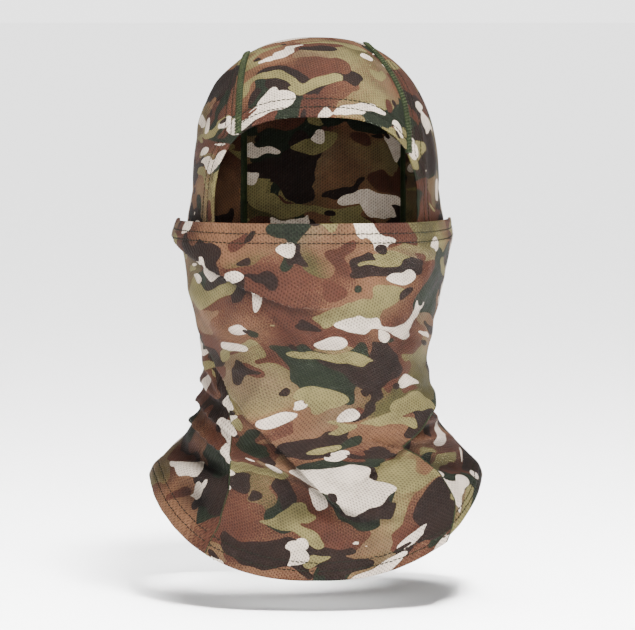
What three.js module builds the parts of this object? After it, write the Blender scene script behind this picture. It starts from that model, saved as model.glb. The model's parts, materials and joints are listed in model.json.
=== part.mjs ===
// A pull-on face mask of thin printed knit, as it stands when worn: a crown panel and two side panels make
// the hood, and one front panel covers the nose, the face, the throat and the chest. Each cut edge is turned
// under and held by two rows of stitches, the crown panel is joined with flat seams, and the front panel laps
// over the side panels. The turned top edge of the front panel swings down under the chin.
//
// Millimetres, +Z up. The wearer faces -Y, and their left hand is at +X. The origin is the underside of the
// cloth at the top of the crown, where the head carries the mask.
import * as THREE from "three";

// Cloth, threads and the room between plies.
const CLOTH = 0.8; // thickness of the knit
const PLY_GAP = 0.7; // air between two plies, or between a thread and the cloth under it
const THREAD = 0.7; // thickness of a row of stitches
const SEAM_WIDTH = 5; // flat seam over the joint of two panels
const SEAM_THICK = 0.6;
const SEAM_SLANT = 0.8; // how much of the crown seam's width shows from straight above
const JOINT_GAP = 0.5; // between the edges of two panels that meet at a seam

// Turned hems and their two needle rows, measured in from the edge.
const HEM_DEPTH = 14;
const INNER_ROW = HEM_DEPTH - 2;
const OUTER_ROW = INNER_ROW - 6;

// The dome of the hood, above its widest level.
const ROUND = 2.4; // 2 is an ellipse, more is squarer
const EQUATOR = -98;
const DOME_HEIGHT = 98 + CLOTH;

// Crown panel: a strip from the forehead over the crown and down the back.
const CROWN_HALF = 54;
const CROWN_SHIFT = 5; // the strip lies a little towards the wearer's left
const SEAM_LEAN = { left: 26, right: 4 }; // how far each seam bends in at the top of the crown
const LEAN_POWER = 6; // how late it does so

// Eye opening: an arch over a straight lower edge.
const EYE_HALF = 66;
const EYE_TOP = -48;
const EYE_FOOT = -117;
const EYE_ROUND = 2.9;

// Levels of the mask from the widest level down to the hem. At each: the height at the side, in front and
// behind, the half width, the reach forwards and backwards, the reach of the front panel, how far the crown
// panel is tucked in from its half width, and the angles from straight ahead of the side panel's front edge
// and of the front panel's.
const LEVELS = [
  // side  front  back  half  fore   aft  mask  tuck  edge  wrap
  [  -98,   -98,   -98, 80.0, 97.0, 98.0, 97.0,  0.0,    0, 88.0], // brow
  [ -117,  -117,  -117, 83.0, 96.5, 97.0, 108.,  0.0,    0, 88.0], // top edge of the front panel
  [ -131,  -131,  -131, 84.0, 95.5, 94.5, 107.,  0.5, 48.5, 84.0], // ears
  [ -152,  -152,  -152, 80.5, 94.0, 87.0, 106.,  2.0, 50.0, 66.0], // cheeks
  [ -180,  -180,  -180, 75.0, 92.0, 77.5, 102.,  4.0, 49.9, 60.0], // jaw
  [ -208,  -208,  -208, 71.5, 89.0, 70.5, 95.5,  6.0, 48.2, 53.0], // throat
  [ -232,  -232,  -232, 73.5, 85.0, 67.0, 87.0,  8.0, 43.7, 48.0], // neck
  [ -250,  -262,  -258, 80.0, 82.0, 68.0, 82.0,  8.0, 39.6, 43.6], // collar
  [ -266,  -290,  -280, 95.0, 85.0, 73.0, 85.0,  6.0, 36.0, 40.0], // shoulders
  [ -277,  -314,  -300, 105., 91.0, 80.0, 91.0,  4.0, 36.4, 40.4], // flare
  [ -283,  -341,  -322, 108., 97.0, 86.0, 97.0,  2.0, 38.7, 42.7], // hem
];
const HALF = 3; // columns of the table
const FORE = 4;
const AFT = 5;
const EDGE = 8;
const LAST = LEVELS.length - 1;
const MASK_EDGE = 1;
const CHEEK = 3;
const THROAT = 5;
const FRONT_LENGTH = 240; // front panel, from its hem to its top edge
const HEM_SWING = 1.4; // how fast the hem drops from the shoulders towards the front and back
const SEAM_TWIST = 5; // degrees that the front seams are turned towards the wearer's left

// The front panel stands off the side panels: over their stitches at the cheeks, by one ply at the seams.
const CHEEK_LIFT = CLOTH * 2 + PLY_GAP * 3 + THREAD;
const SEAM_LIFT = CLOTH + PLY_GAP;

const RADIANS = Math.PI / 180;
const mix = THREE.MathUtils.lerp;
const ease = THREE.MathUtils.smoothstep;

function archHalf(height) {
  const rise = THREE.MathUtils.clamp((height - EYE_FOOT) / (EYE_TOP - EYE_FOOT), 0, 1);
  return EYE_HALF * Math.pow(1 - Math.pow(rise, EYE_ROUND), 1 / EYE_ROUND);
}

function archHeight(x) {
  const share = Math.pow(1 - Math.pow(Math.abs(x) / EYE_HALF, EYE_ROUND), 1 / EYE_ROUND);
  return mix(EYE_FOOT, EYE_TOP, share);
}

// The angle from straight ahead at which a level is this far from the middle plane.
function angleOf(level, half) {
  return Math.asin(Math.min(1, Math.pow(Math.abs(half) / level.half, ROUND / 2))) / RADIANS;
}

// Beside the eyes, the side panel's front edge is the edge of the opening.
for (const level of LEVELS.slice(0, MASK_EDGE + 1)) {
  level[EDGE] = angleOf({ half: level[HALF] }, archHalf(level[0]));
}

const levels = new THREE.CubicInterpolant(
  LEVELS.map((_, index) => index),
  LEVELS.flat(),
  LEVELS[0].length,
);

function levelAt(t) {
  const [side, front, back, half, fore, aft, mask, tuck, edge, wrap] = levels.evaluate(t);
  return { side, front, back, half, fore, aft, mask, edge, wrap, seam: CROWN_HALF - tuck };
}

// A level of the dome, shrunk from the widest level as it rises.
function domeLevel(height) {
  const widest = levelAt(0);
  const rise = THREE.MathUtils.clamp((height - EQUATOR) / DOME_HEIGHT, 0, 1);
  const shrink = Math.pow(1 - Math.pow(rise, ROUND), 1 / ROUND);
  return {
    side: height,
    front: height,
    back: height,
    half: widest.half * shrink,
    fore: widest.fore * shrink,
    aft: widest.aft * shrink,
  };
}

// A point of a level at an angle from straight ahead, positive towards the wearer's left.
function around(level, degrees, fore = level.fore) {
  const across = Math.sin(degrees * RADIANS);
  const ahead = Math.cos(degrees * RADIANS);
  const reach = ahead > 0 ? fore : level.aft;
  const end = ahead > 0 ? level.front : level.back;
  return new THREE.Vector3(
    level.half * Math.sign(across) * Math.pow(Math.abs(across), 2 / ROUND),
    -reach * Math.sign(ahead) * Math.pow(Math.abs(ahead), 2 / ROUND),
    mix(level.side, end, Math.pow(Math.abs(ahead), HEM_SWING)),
  );
}

// Half width of the crown panel on one side, 1 for the wearer's left and -1 for the right.
const seamHalf = (half, side) => half + side * CROWN_SHIFT;

// The same over the crown, at a turn from the forehead (0) over the top (half of pi) to the back.
function crownHalf(side, turn) {
  const lean = side > 0 ? SEAM_LEAN.left : SEAM_LEAN.right;
  return seamHalf(CROWN_HALF, side) - lean * Math.pow(Math.max(0, Math.sin(turn)), LEAN_POWER);
}

// Share of the crown's height and reach that is left in the plane this far from the middle.
const planeShare = (x) => Math.pow(1 - Math.pow(Math.abs(x) / LEVELS[0][HALF], ROUND), 1 / ROUND);

// Crown panel: u from the wearer's right to left, v from the forehead over the crown to the back hem.
const OVER_CROWN = 6 / 11; // share of v above the widest level

function crownPanel(u, v) {
  const backwards = Math.max(0, (v - OVER_CROWN) / (1 - OVER_CROWN)) * LAST;
  const level = levelAt(backwards);
  const inset = JOINT_GAP / 2;
  const right = -seamHalf(level.seam, -1) + inset;
  const left = seamHalf(level.seam, 1) - inset;
  const x = mix(right, left, u);
  if (v > OVER_CROWN) {
    const point = around(level, 180 - angleOf(level, x));
    return point.setX(x);
  }
  const turn = mix(browTurn(x), Math.PI, v / OVER_CROWN);
  return onDome(mix(inset - crownHalf(-1, turn), crownHalf(1, turn) - inset, u), turn);
}

// The turn at which the dome meets the eye opening, this far from the middle.
function browTurn(x) {
  return Math.asin(Math.pow((archHeight(x) - EQUATOR) / (DOME_HEIGHT * planeShare(x)), ROUND / 2));
}

// A point of the dome this far from the middle, at a turn from the forehead over the crown.
function onDome(x, turn) {
  const ahead = Math.cos(turn);
  const reach = (ahead > 0 ? LEVELS[0][FORE] : LEVELS[0][AFT]) * planeShare(x);
  return new THREE.Vector3(
    x,
    -reach * Math.sign(ahead) * Math.pow(Math.abs(ahead), 2 / ROUND),
    EQUATOR + DOME_HEIGHT * planeShare(x) * Math.pow(Math.max(0, Math.sin(turn)), 2 / ROUND),
  );
}

// Side panel: u from its front edge to the back seam, v from the hem up to just under the crown seam's top.
const BELOW_BROW = 5 / 9; // share of v below the widest level
const SEAM_TOP_TURN = 80; // degrees up the crown seam at which the panel's top edge is cut

function sidePanel(side) {
  return (u, v) => {
    const inset = JOINT_GAP / 2;
    if (v <= BELOW_BROW) {
      const t = LAST * (1 - v / BELOW_BROW);
      const level = levelAt(t);
      const front = level.edge + side * SEAM_TWIST * ease(t, THROAT - 1, THROAT + 1);
      const back = 180 - angleOf(level, seamHalf(level.seam, side) + inset);
      return around(level, side * mix(front, back, u));
    }
    const turn = ((v - BELOW_BROW) / (1 - BELOW_BROW)) * SEAM_TOP_TURN * RADIANS;
    const seam = crownHalf(side, turn) + inset;
    const level = domeLevel(EQUATOR + DOME_HEIGHT * planeShare(seam) * Math.pow(Math.sin(turn), 2 / ROUND));
    const front = angleOf(level, Math.max(seam, archHalf(level.side)));
    const back = 180 - angleOf(level, seam);
    return around(level, side * mix(front, back, u));
  };
}

// Front panel: u from the wearer's right to left, v from the hem up to the top edge over the nose.
function frontForm(u, v) {
  const t = mix(LAST, MASK_EDGE, v);
  const level = levelAt(t);
  const twist = SEAM_TWIST * ease(t, THROAT - 1, THROAT + 1);
  return around(level, mix(twist - level.wrap, twist + level.wrap, u), level.mask);
}

function frontPanel(u, v) {
  const lift = mix(CHEEK_LIFT, SEAM_LIFT, ease(mix(LAST, MASK_EDGE, v), THROAT - 1.5, THROAT + 0.5));
  return frontForm(u, v).addScaledVector(outwards(frontForm, u, v), lift);
}

// The direction out of a surface, away from the middle of the head and neck.
function outwards(surface, u, v) {
  const step = 0.002;
  const across = surface(Math.min(1, u + step), v).sub(surface(Math.max(0, u - step), v));
  const along = surface(u, Math.min(1, v + step)).sub(surface(u, Math.max(0, v - step)));
  const normal = across.cross(along).normalize();
  const here = surface(u, v);
  const fromCore = here.clone().setZ(here.z - Math.min(here.z, EQUATOR));
  return normal.dot(fromCore) < 0 ? normal.negate() : normal;
}

// A closed sheet bent onto a surface: its outer face is lifted by a distance, or by a function of u and v.
function sheet(surface, across, along, lift, thickness) {
  const box = new THREE.BoxGeometry(1, 1, 1, across, along, 1);
  const spots = box.getAttribute("position");
  for (let i = 0; i < spots.count; i += 1) {
    const u = spots.getX(i) + 0.5;
    const v = spots.getY(i) + 0.5;
    const raised = typeof lift === "function" ? lift(u, v) : lift;
    const depth = (0.5 - spots.getZ(i)) * thickness;
    const spot = surface(u, v).addScaledVector(outwards(surface, u, v), raised - depth);
    spots.setXYZ(i, spot.x, spot.y, spot.z);
  }
  return facingOut(box);
}

// Turns a closed geometry the right way round where its surface runs from left to right.
function facingOut(geometry) {
  const spots = geometry.getAttribute("position");
  const corners = geometry.index.array;
  const [a, b, c] = [new THREE.Vector3(), new THREE.Vector3(), new THREE.Vector3()];
  let volume = 0;
  for (let i = 0; i < corners.length; i += 3) {
    a.fromBufferAttribute(spots, corners[i]);
    b.fromBufferAttribute(spots, corners[i + 1]);
    c.fromBufferAttribute(spots, corners[i + 2]);
    volume += a.dot(b.cross(c));
  }
  if (volume < 0) {
    for (let i = 0; i < corners.length; i += 3) {
      [corners[i], corners[i + 1]] = [corners[i + 1], corners[i]];
    }
  }
  geometry.computeVertexNormals();
  return geometry;
}

// Part of a surface, between shares of its u and v.
const piece = (surface, u0, u1, v0, v1) => (u, v) => surface(mix(u0, u1, u), mix(v0, v1, v));

// The share of a surface's u at which a distance in from its first edge is reached, along one v.
function shareAcross(surface, v, distance, fromFirst = true) {
  const steps = 24;
  let gone = 0;
  let last = surface(fromFirst ? 0 : 1, v);
  for (let i = 1; i <= steps; i += 1) {
    const here = surface(fromFirst ? i / steps : 1 - i / steps, v);
    const length = here.distanceTo(last);
    if (gone + length >= distance) {
      const share = (i - 1 + (distance - gone) / length) / steps;
      return fromFirst ? share : 1 - share;
    }
    gone += length;
    last = here;
  }
  return fromFirst ? 1 : 0;
}

const turned = (surface) => (u, v) => surface(v, u);
const shareAlong = (surface, u, distance, first) => shareAcross(turned(surface), u, distance, first);

// A strip beside the first or last u edge of a surface, between two distances in from it.
function besideEdge(surface, near, far, v0, v1, fromFirst = true) {
  return (u, v) => {
    const height = mix(v0, v1, v);
    const start = shareAcross(surface, height, near, fromFirst);
    const end = shareAcross(surface, height, far, fromFirst);
    return surface(mix(start, end, u), height);
  };
}

// A strip beside the first or last v edge of a surface, between two distances in from it.
function besideHem(surface, near, far, fromFirst = true, u0 = 0, u1 = 1) {
  return (u, v) => {
    const along = mix(u0, u1, u);
    const start = shareAlong(surface, along, near, fromFirst);
    const end = shareAlong(surface, along, far, fromFirst);
    return surface(along, mix(start, end, v));
  };
}

// A row of stitches: a thread that follows points of the cloth, raised so that it clears it.
function threadRow(points, steps) {
  const half = THREAD / 2;
  const section = new THREE.Shape([
    new THREE.Vector2(half, 0),
    new THREE.Vector2(0, half),
    new THREE.Vector2(-half, 0),
    new THREE.Vector2(0, -half),
  ]);
  const extrudePath = new THREE.CatmullRomCurve3(points, false, "centripetal");
  return new THREE.ExtrudeGeometry(section, { steps, bevelEnabled: false, extrudePath });
}

// The middle of a thread that lies on a surface, over whatever lifts it.
function onCloth(surface, u, v, lift = 0) {
  return surface(u, v).addScaledVector(outwards(surface, u, v), lift + PLY_GAP + THREAD / 2);
}

const KNIT = new THREE.MeshStandardMaterial({ color: 0x6b4a35, roughness: 0.9, metalness: 0 });
const LINING = new THREE.MeshStandardMaterial({ color: 0x7a6f52, roughness: 0.95, metalness: 0 });
const SEAM = new THREE.MeshStandardMaterial({ color: 0x2e3a26, roughness: 0.7, metalness: 0 });
const STITCH = new THREE.MeshStandardMaterial({ color: 0x25281c, roughness: 0.6, metalness: 0 });

const mask = new THREE.Group();

function add(name, geometry, material) {
  const mesh = new THREE.Mesh(geometry, material);
  mesh.name = name;
  mask.add(mesh);
}

const SIDES = [
  ["left", 1],
  ["right", -1],
];

const ROWS = [
  ["outer", OUTER_ROW],
  ["inner", INNER_ROW],
];
const INSIDE = -CLOTH - PLY_GAP; // outer face of a ply turned inside a panel
const SEAM_ROOM = 0.07; // share of a panel's width that its hem leaves to the seam on each side

// Points along a row of stitches, evenly spaced between two shares of its length.
function rowPoints(count, from, to, place) {
  return Array.from({ length: count + 1 }, (_, i) => place(mix(from, to, i / count)));
}

// Crown panel, with its forehead hem and its back hem.
add("crown_panel", sheet(crownPanel, 12, 44, 0, CLOTH), KNIT);
const foreheadHem = besideHem(crownPanel, 0, HEM_DEPTH, true, SEAM_ROOM, 1 - SEAM_ROOM);
const backHem = besideHem(crownPanel, 0, HEM_DEPTH, false, SEAM_ROOM, 1 - SEAM_ROOM);
add("forehead_hem_turning", sheet(foreheadHem, 12, 2, INSIDE, CLOTH), LINING);
add("back_hem_turning", sheet(backHem, 10, 2, INSIDE, CLOTH), LINING);
for (const [row, distance] of ROWS) {
  const place = (u) => onCloth(crownPanel, u, shareAlong(crownPanel, u, distance, true));
  const points = rowPoints(16, SEAM_ROOM, 1 - SEAM_ROOM, place);
  add(`forehead_stitch_${row}`, threadRow(points, 20), STITCH);
}

// A crown seam: u across it from the crown panel's side to the side panel's, v from the opening to the hem.
function crownSeam(side) {
  return (u, v) => {
    const across = mix(-SEAM_WIDTH / 2, SEAM_WIDTH / 2, u);
    const level = levelAt(Math.max(0, (v - OVER_CROWN) / (1 - OVER_CROWN)) * LAST);
    if (v > OVER_CROWN) {
      const angle = 180 - angleOf(level, seamHalf(level.seam, side));
      return around(level, side * (angle - across / level.half / RADIANS));
    }
    const turn = mix(browTurn(seamHalf(CROWN_HALF, side)), Math.PI, v / OVER_CROWN);
    return onDome(side * (crownHalf(side, turn) + across * SEAM_SLANT), turn);
  };
}

for (const [name, side] of SIDES) {
  const panel = sidePanel(side);
  add(`${name}_side_panel`, sheet(panel, 16, 36, 0, CLOTH), KNIT);

  // Flat seam to the crown panel: cover threads outside and loops inside, held at both ends by the hems.
  const seam = crownSeam(side);
  const seamEnd = shareAlong(seam, 0.5, HEM_DEPTH + SEAM_WIDTH / 2, false);
  const seamStart = shareAlong(seam, 0.5, 1, true);
  const seamPart = piece(seam, 0, 1, seamStart, seamEnd);
  add(`${name}_crown_seam`, sheet(seamPart, 1, 44, PLY_GAP + SEAM_THICK, SEAM_THICK), SEAM);
  add(`${name}_crown_seam_loops`, sheet(seamPart, 1, 44, INSIDE, SEAM_THICK), SEAM);

  // Eye hem, down the front edge from the crown seam to the cheek.
  const corner = browTurn(seamHalf(CROWN_HALF, side)) / RADIANS / SEAM_TOP_TURN;
  const hemTop = mix(BELOW_BROW, 1, corner) - 0.02;
  const hemFoot = BELOW_BROW * (1 - CHEEK / LAST);
  const eyeHem = besideEdge(panel, 0, HEM_DEPTH, hemFoot, hemTop);
  add(`${name}_eye_hem_turning`, sheet(eyeHem, 2, 18, INSIDE, CLOTH), LINING);
  for (const [row, distance] of ROWS) {
    const place = (v) => onCloth(panel, shareAcross(panel, v, distance), v);
    const points = rowPoints(14, hemFoot + 0.01, hemTop - 0.01, place);
    add(`${name}_eye_stitch_${row}`, threadRow(points, 18), STITCH);
  }

  // Bottom hem of the side panel.
  const hem = besideHem(panel, 0, HEM_DEPTH, true, 0.05, 0.95);
  add(`${name}_hem_turning`, sheet(hem, 14, 2, INSIDE, CLOTH), LINING);
}

// Front panel: the throat and chest are sewn to the side panels, the face is free, and its turned edge
// swings down about a line through the ears.
const SPLIT = (LAST - THROAT) / (LAST - MASK_EDGE);
const LAP_ROOM = 0.08; // share of its width that the front panel's hem leaves to each lap
const belowBand = (u) => shareAlong(frontPanel, u, HEM_DEPTH + JOINT_GAP, false);
const facePanel = (u, v) => frontPanel(u, mix(SPLIT + JOINT_GAP / FRONT_LENGTH, belowBand(u), v));
const band = besideHem(frontPanel, 0, HEM_DEPTH, false);
add("mask_panel", sheet(facePanel, 24, 9, 0, CLOTH), KNIT);
add("mask_edge_band", sheet(band, 24, 2, 0, CLOTH), KNIT);
add("mask_edge_turning", sheet(band, 24, 2, INSIDE, CLOTH), LINING);
for (const [row, distance] of ROWS) {
  const place = (u) => onCloth(frontPanel, u, shareAlong(frontPanel, u, distance, false));
  add(`mask_stitch_${row}`, threadRow(rowPoints(32, 0.01, 0.99, place), 40), STITCH);
}

add("bib_panel", sheet(piece(frontPanel, 0, 1, 0, SPLIT), 16, 10, 0, CLOTH), KNIT);
const bibHem = besideHem(frontPanel, 0, HEM_DEPTH, true, LAP_ROOM, 1 - LAP_ROOM);
add("bib_hem_turning", sheet(bibHem, 14, 2, INSIDE, CLOTH), LINING);
for (const [name, side] of SIDES) {
  const foot = shareAlong(frontPanel, 0.5, HEM_DEPTH + SEAM_WIDTH, true);
  const strip = besideEdge(frontPanel, 0.3, SEAM_WIDTH, foot, SPLIT, side < 0);
  add(`${name}_front_seam`, sheet(strip, 1, 14, PLY_GAP + SEAM_THICK, SEAM_THICK), SEAM);
}

// The hem's two rows of stitches run all the way round from the middle of the back, up over the laps.
const skirt = (u, v) => around(levelAt(mix(LAST, LAST - 3, v)), 180 + 360 * u);
const ROW_END = 0.001; // share of the way round that is left between the ends of a row and the middle
for (const [row, distance] of ROWS) {
  const wrap = levelAt(LAST).wrap;
  const place = (u) => {
    const lift = SEAM_LIFT * (1 - ease(Math.abs(360 * u - 180 - SEAM_TWIST), wrap + 3, wrap + 15));
    return onCloth(skirt, u, shareAlong(skirt, u, distance, true), lift);
  };
  add(`hem_stitch_${row}`, threadRow(rowPoints(72, ROW_END, 1 - ROW_END, place), 72), STITCH);
}

export default mask;
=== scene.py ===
# %% [markdown]
# # A camouflage face mask in thin knit
# The mask is one hood of soft stretch knit: a crown panel, two side panels and a front panel. Cloth this thin
# could be simulated over a head, but its few large folds decide how it looks, so every panel is a sheet whose
# form is worked out from the same sizes as the imported model and then folded crease by crease.

# %% Load the imported frame
import json
import math

import bpy
import numpy as np
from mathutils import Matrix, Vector, noise

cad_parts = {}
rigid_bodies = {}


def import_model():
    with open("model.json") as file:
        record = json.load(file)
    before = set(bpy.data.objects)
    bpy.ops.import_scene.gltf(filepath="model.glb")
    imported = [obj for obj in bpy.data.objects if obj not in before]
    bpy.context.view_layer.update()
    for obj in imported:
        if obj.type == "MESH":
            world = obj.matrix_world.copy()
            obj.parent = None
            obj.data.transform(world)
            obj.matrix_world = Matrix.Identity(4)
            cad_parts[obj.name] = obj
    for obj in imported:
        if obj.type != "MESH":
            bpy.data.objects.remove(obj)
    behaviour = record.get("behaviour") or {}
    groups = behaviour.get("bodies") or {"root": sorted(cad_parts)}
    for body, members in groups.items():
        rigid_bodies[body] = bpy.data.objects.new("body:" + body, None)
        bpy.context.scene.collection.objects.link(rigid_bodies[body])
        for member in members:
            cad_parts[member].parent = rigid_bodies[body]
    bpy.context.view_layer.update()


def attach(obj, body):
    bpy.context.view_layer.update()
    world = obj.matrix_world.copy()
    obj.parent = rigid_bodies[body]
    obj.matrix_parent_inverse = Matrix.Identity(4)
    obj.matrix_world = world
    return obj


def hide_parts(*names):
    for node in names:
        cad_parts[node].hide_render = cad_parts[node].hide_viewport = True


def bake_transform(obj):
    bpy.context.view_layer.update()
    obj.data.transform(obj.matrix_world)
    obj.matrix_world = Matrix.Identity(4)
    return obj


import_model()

MM = 0.001

# %% [markdown]
# ## The form under the cloth
# A worn mask is round at the crown, narrow at the throat and flared over the shoulders. It could be modelled
# by hand from a sphere, but a few levels with a smooth curve through them give every panel, seam and row of
# stitches the same surface to lie on. Each level is a squarish oval with its own width and reach.

# %% Sizes of the hood
CLOTH = 0.8 * MM
LIFT_OVER_SEAM = 1.5 * MM  # how far the front panel stands off the side panels where it is sewn
LIFT_AT_CHEEK = 4.4 * MM
HEM = 14 * MM  # depth of every turned hem
NEEDLE_ROWS = (6 * MM, 12 * MM)
ROUND = 2.4  # 2 is an ellipse, more is squarer
HEM_SWING = 1.4  # how fast the hem drops from the shoulders towards the front and back
BROW = -98 * MM  # height of the widest level, under the dome
DOME = 98.8 * MM
CROWN_HALF = 54 * MM
CROWN_SHIFT = 5 * MM  # the crown strip lies a little towards the wearer's left
CROWN_LEAN = {1: 26 * MM, -1: 4 * MM}  # how far the left and the right crown seam bend in at the top
LEAN_POWER = 6  # how late they do so
EYE_HALF, EYE_TOP, EYE_FOOT, EYE_ROUND = 66 * MM, -48 * MM, -117 * MM, 2.9

# Heights at the side, front and back, half width, reach forwards and back, reach of the front panel, how far
# the crown panel tucks in, and the angle of the side panel's front edge.
LEVELS = np.array([
    [-98, -98, -98, 80.0, 97.0, 98.0, 97.0, 0.0, 51.9],
    [-117, -117, -117, 83.0, 96.5, 97.0, 108.0, 0.0, 49.4],
    [-131, -131, -131, 84.0, 95.5, 94.5, 107.0, 0.5, 48.5],
    [-152, -152, -152, 80.5, 94.0, 87.0, 106.0, 2.0, 50.0],
    [-180, -180, -180, 75.0, 92.0, 77.5, 102.0, 4.0, 49.9],
    [-208, -208, -208, 71.5, 89.0, 70.5, 95.5, 6.0, 48.2],
    [-232, -232, -232, 73.5, 85.0, 67.0, 87.0, 8.0, 43.7],
    [-250, -262, -258, 80.0, 82.0, 68.0, 82.0, 8.0, 39.6],
    [-266, -290, -280, 95.0, 85.0, 73.0, 85.0, 6.0, 36.0],
    [-277, -314, -300, 105.0, 91.0, 80.0, 91.0, 4.0, 36.4],
    [-283, -341, -322, 108.0, 97.0, 86.0, 97.0, 2.0, 38.7],
])
NAMES = "side front back half fore aft mask tuck edge".split()
BROW_HALF, BROW_FORE, BROW_AFT = LEVELS[0, 3:6] * MM
LAST = len(LEVELS) - 1
NOSE, CHEEK, THROAT = 1, 3, 5
print(LAST + 1, "levels from the brow to the hem")


# %% A smooth curve through values
def through(values, t):
    """A smooth curve through evenly spaced values, read at t = 0, 1, 2 and between."""
    values = np.asarray(values, float)
    ends = np.concatenate([[2 * values[0] - values[1]], values, [2 * values[-1] - values[-2]]])
    t = np.clip(np.asarray(t, float), 0, len(values) - 1)
    i = np.minimum(t.astype(int), len(values) - 2)
    p = t - i
    a, b, c, d = (ends[i + k] for k in range(4))
    squared, cubed = a - 2.5 * b + 2 * c - d / 2, 1.5 * (b - c) + (d - a) / 2
    return b + p * (c - a) / 2 + p**2 * squared + p**3 * cubed


def level(t):
    """The sizes of the mask at a level, in metres, by name."""
    sizes = {name: through(LEVELS[:, k] * MM, t) for k, name in enumerate(NAMES)}
    sizes["edge"] = sizes["edge"] / MM
    sizes["seam"] = CROWN_HALF - sizes["tuck"]
    return sizes


def ease(x, low, high):
    """0 below low, 1 above high, and a smooth rise between."""
    x = np.clip((x - low) / (high - low), 0, 1)
    return x * x * (3 - 2 * x)


def powered(x, power):
    """A power that keeps the sign, so that an oval closes on every side."""
    return np.sign(x) * np.abs(x) ** power


print("half width at the throat in mm:", round(float(level(THROAT)["half"]) / MM, 1))


# %% Points on the form
def around(sizes, degrees, reach="fore"):
    """A point of a level, at an angle from straight ahead that grows towards the wearer's left."""
    across, ahead = np.sin(np.radians(degrees)), np.cos(np.radians(degrees))
    depth = np.where(ahead > 0, sizes[reach], sizes["aft"])
    end = np.where(ahead > 0, sizes["front"], sizes["back"])
    x = sizes["half"] * powered(across, 2 / ROUND)
    z = sizes["side"] + (end - sizes["side"]) * np.abs(ahead) ** HEM_SWING
    return np.stack(np.broadcast_arrays(x, -depth * powered(ahead, 2 / ROUND), z), axis=-1)


def angle_of(half_width, x):
    """The angle from straight ahead at which a level is this far from the middle plane."""
    return np.degrees(np.arcsin(np.clip(np.abs(x) / half_width, 0, 1) ** (ROUND / 2)))


def plane_share(x):
    """How large the dome's outline is in a plane this far from the middle, as a share of the largest."""
    return (1 - (np.abs(x) / BROW_HALF) ** ROUND) ** (1 / ROUND)


def on_dome(x, turn):
    """A point of the dome this far from the middle plane, at a turn from the forehead over the crown."""
    ahead, rise = np.cos(turn), np.maximum(np.sin(turn), 0)
    reach = np.where(ahead > 0, BROW_FORE, BROW_AFT) * plane_share(x)
    z = BROW + DOME * plane_share(x) * rise ** (2 / ROUND)
    return np.stack(np.broadcast_arrays(x, -reach * powered(ahead, 2 / ROUND), z), axis=-1)


def arch_half(z):
    """Half the width of the eye opening at a height."""
    rise = np.clip((z - EYE_FOOT) / (EYE_TOP - EYE_FOOT), 0, 1)
    return EYE_HALF * (1 - rise**EYE_ROUND) ** (1 / EYE_ROUND)


def brow_turn(x):
    """The turn of the dome at which the crown panel starts, over the eye opening."""
    share = (1 - (np.abs(x) / EYE_HALF) ** EYE_ROUND) ** (1 / EYE_ROUND)
    arch = EYE_FOOT + (EYE_TOP - EYE_FOOT) * share
    return np.arcsin(((arch - BROW) / (DOME * plane_share(x))) ** (ROUND / 2))


def seam_half(half_width, side):
    return half_width + side * CROWN_SHIFT


def crown_half(side, turn):
    """How far a crown seam is from the middle plane: 1 is the wearer's left side, -1 the right."""
    return seam_half(CROWN_HALF, side) - CROWN_LEAN[side] * np.maximum(np.sin(turn), 0) ** LEAN_POWER


print("forehead edge at the middle, in mm:", np.round(on_dome(0.0, brow_turn(0.0)) / MM, 1))

# %% [markdown]
# ## The panels, flat and on the form
# A panel is cut flat and bends when it is sewn and worn. Each panel here is a function of two shares, across
# and along, that gives its place on the form. The front panel's side edges follow their own line: they run
# back to the ears, come forward at the throat, and on the wearer's left a deep fold bites into the edge.

# %% Panel surfaces
OVER_CROWN = 6 / 11  # share of the crown panel's length that lies over the dome
BELOW_BROW = 5 / 9  # share of a side panel's length that lies under it
TOP_TURN = math.radians(80)  # where on the dome a side panel ends
HALF_JOINT = 0.25 * MM  # half the gap between two panels that meet at a crown seam
SEAM_TWIST = 5  # degrees that both front seams are turned towards the wearer's left below the throat
TUCKED = 4  # degrees that a side panel goes on under the front panel's edge
# The front panel's edge on each side: levels, and its angle from straight ahead at each of them.
FRONT_EDGE = {
    -1: ((0, 1, 2, 3, 4, 5, 6, 7, 8, 9, 10), (88, 88, 84, 72, 70, 52, 43, 37, 31, 31, 36)),
    1: ((0, 1, 2, 3, 4, 5, 5.7, 6.95, 7.4, 8, 9, 10), (88, 88, 84, 78, 71, 73, 76, 33, 40, 46, 48, 43)),
}


def crown_panel(u, v):
    sizes = level(np.maximum(0, (v - OVER_CROWN) / (1 - OVER_CROWN)) * LAST)
    right = HALF_JOINT - seam_half(sizes["seam"], -1)
    left = seam_half(sizes["seam"], 1) - HALF_JOINT
    x = right + (left - right) * u
    turn = brow_turn(x) + (np.pi - brow_turn(x)) * v / OVER_CROWN
    low, high = HALF_JOINT - crown_half(-1, turn), crown_half(1, turn) - HALF_JOINT
    over = on_dome(low + (high - low) * u, turn)
    behind = around(sizes, 180 - np.sign(x) * angle_of(sizes["half"], x))
    return np.where((v <= OVER_CROWN)[..., None], over, behind)


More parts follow.
